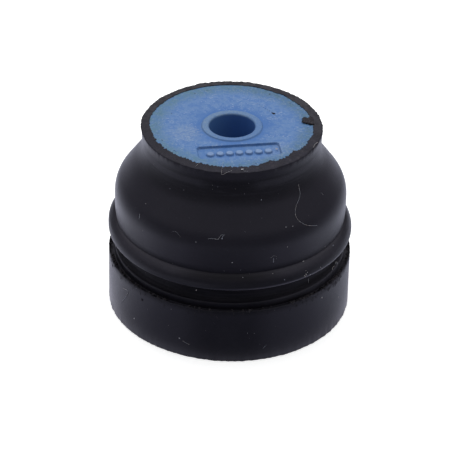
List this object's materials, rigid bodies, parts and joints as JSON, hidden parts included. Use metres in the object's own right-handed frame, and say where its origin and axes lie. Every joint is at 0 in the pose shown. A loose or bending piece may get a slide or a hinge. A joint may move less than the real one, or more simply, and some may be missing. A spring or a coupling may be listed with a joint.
{
  "type": "anti-vibration bushing",
  "caption": "Hollow black rubber mount with a bell, a snap-in bead and groove over a straight collar, bonded to a blue plastic disc with a central screw bore.",
  "frame": {"origin": "centre of the collar's flat underside", "axes": "+Z along the bore, towards the disc face; -Y towards the label pocket's side"},
  "size_m": [0.0362, 0.0362, 0.0294],
  "materials": {
    "rubber": "satin moulded",
    "insert_plastic": "matte, dusty"
  },
  "bodies": {
    "root": {"rubber_body": "rubber", "plastic_insert": "insert_plastic"}
  },
  "joints": []
}
